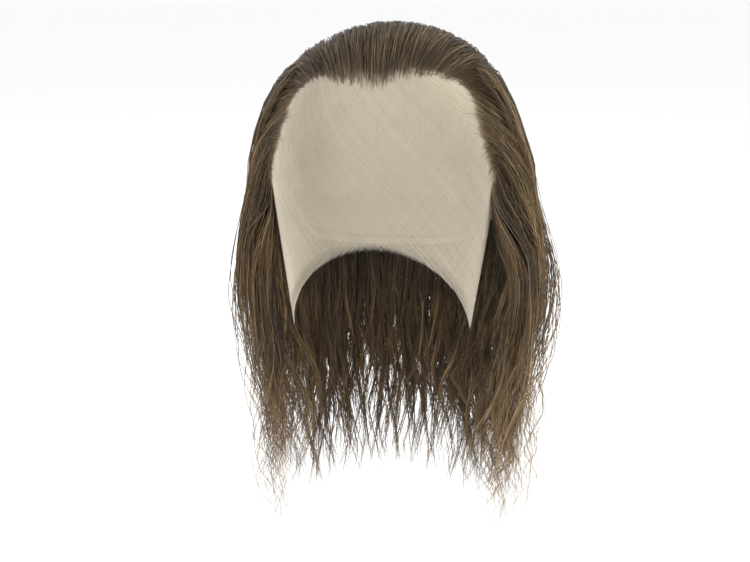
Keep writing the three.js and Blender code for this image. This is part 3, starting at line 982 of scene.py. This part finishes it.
class WIG_OT_cap(bpy.types.Operator):
    """Nets the cap that the hair is sewn to, with a corded edge."""
    bl_idname = "wig.cap"
    bl_label = "Cap"

    def execute(self, context):
        cloth = context.scene.wig_cloth
        rng = np.random.default_rng(CAP["seed"])
        outline = net_outline(spline([SEAM[-1], *NAPE_EDGE])[1:])
        threads = net_threads(rng, domed, outline, CAP, cloth.cap_pitch / MM)
        threads += hem_cords(outline)
        made = net_object(rng, "cap_net", threads, cloth.cap_thread / MM)
        material = thread_material("cotton net, beige", cloth.cap_colour, cloth.cap_thread / MM)
        place(made, "cap", material)
        return {"FINISHED"}


class WIG_OT_hair(bpy.types.Operator):
    """Combs the strands of every section of hair."""
    bl_idname = "wig.hair"
    bl_label = "Hair"

    def execute(self, context):
        hair = context.scene.wig_hair
        rng = np.random.default_rng(hair.seed)
        material = hair_material(hair)
        made = [(section["name"], FRONT, front_section(rng, section, hair)) for section in SECTIONS]
        for habit, strands in ((BACK, back_section), (FRINGE, fringe), (WISPS, loose_wisps)):
            made.append((habit["name"], habit, strands(rng, hair)))
        for name, habit, (paths, tones, root_run) in made:
            width = habit["thickness"] * hair.strand_width / MM
            widths = strand_widths(rng, len(paths), habit["runs"], width)
            group = prisms(paths, widths, rng.uniform(0, 2 * math.pi, len(paths)))
            group["runs"] = root_run[:, None] + (1 - root_run)[:, None] * group["runs"]
            piece = strand_object(name + "_strands", [group], tones)
            place(piece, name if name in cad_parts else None, material)
        return {"FINISHED"}


class WIG_OT_stage(bpy.types.Operator):
    """Sets the pale floor, the soft lights and the camera."""
    bl_idname = "wig.stage"
    bl_label = "Stage"

    def execute(self, context):
        stage = context.scene.wig_stage
        self.floor(stage)
        for light in LIGHTS:
            self.light(light)
        world = bpy.data.worlds.new("studio")
        world.use_nodes = True
        background = world.node_tree.nodes["Background"].inputs
        background["Color"].default_value = (1, 1, 1, 1)
        background["Strength"].default_value = 1.0
        context.scene.world = world
        context.scene.view_settings.view_transform = "Standard"
        self.camera(context, stage)
        return {"FINISHED"}

    def floor(self, stage):
        mesh = bpy.data.meshes.new("floor")
        made = bmesh.new()
        bmesh.ops.create_grid(made, x_segments=1, y_segments=1, size=FLOOR_HALF_WIDTH)
        bmesh.ops.translate(made, verts=made.verts, vec=(0, 0, -stage.floor_drop))
        made.to_mesh(mesh)
        made.free()
        floor = new_object("floor", mesh)
        mesh.materials.append(paper_material(stage.floor_colour))

    def light(self, light):
        data = bpy.data.lights.new(light["name"], "AREA")
        data.size = LIGHT_SIZE
        data.energy = light["power"]
        made = new_object(light["name"], data)
        turn = (Vector(LIGHT_AIM) - Vector(light["where"])).to_track_quat("-Z", "Y")
        made.matrix_world = Matrix.Translation(light["where"]) @ turn.to_matrix().to_4x4()

    def camera(self, context, stage):
        turn, pitch = stage.camera_turn, stage.camera_pitch
        data = bpy.data.cameras.new("camera")
        data.sensor_fit = "HORIZONTAL"
        data.lens = stage.lens
        made = new_object("camera", data)
        right = Vector((math.cos(turn), math.sin(turn), 0))
        level = math.cos(pitch)
        look = Vector((-math.sin(turn) * level, math.cos(turn) * level, -math.sin(pitch)))
        where = Vector((math.sin(turn), -math.cos(turn), 0)) * stage.camera_distance
        where -= right * stage.camera_aside
        where.z = stage.camera_height
        axes = Matrix((right, right.cross(look), -look)).transposed()
        made.matrix_world = Matrix.Translation(where) @ axes.to_4x4()
        context.scene.camera = made


class WIG_PT_panel(bpy.types.Panel):
    """Lists the wig's sizes, colours and pieces."""
    bl_idname = "WIG_PT_panel"
    bl_label = "Lace front wig"
    bl_space_type = "VIEW_3D"
    bl_region_type = "UI"
    bl_category = "Wig"

    def draw(self, context):
        for group in GROUPS:
            box = self.layout.box()
            for name in GROUPS[group].__annotations__:
                box.prop(getattr(context.scene, group), name)
        for operator in PIECES:
            self.layout.operator(operator.bl_idname)


PIECES = (WIG_OT_cap, WIG_OT_lace, WIG_OT_hair, WIG_OT_stage)
GROUPS = {"wig_hair": WigHair, "wig_cloth": WigCloth, "wig_stage": WigStage}


def register():
    for made in (*GROUPS.values(), *PIECES, WIG_PT_panel):
        bpy.utils.register_class(made)
    for name, group in GROUPS.items():
        setattr(bpy.types.Scene, name, bpy.props.PointerProperty(type=group))


def unregister():
    for name in GROUPS:
        delattr(bpy.types.Scene, name)
    for made in (WIG_PT_panel, *PIECES, *GROUPS.values()):
        bpy.utils.unregister_class(made)


def main():
    register()
    bpy.ops.wig.cap()
    bpy.ops.wig.lace()
    bpy.ops.wig.hair()
    bpy.ops.wig.stage()


if __name__ == "__main__":
    main()
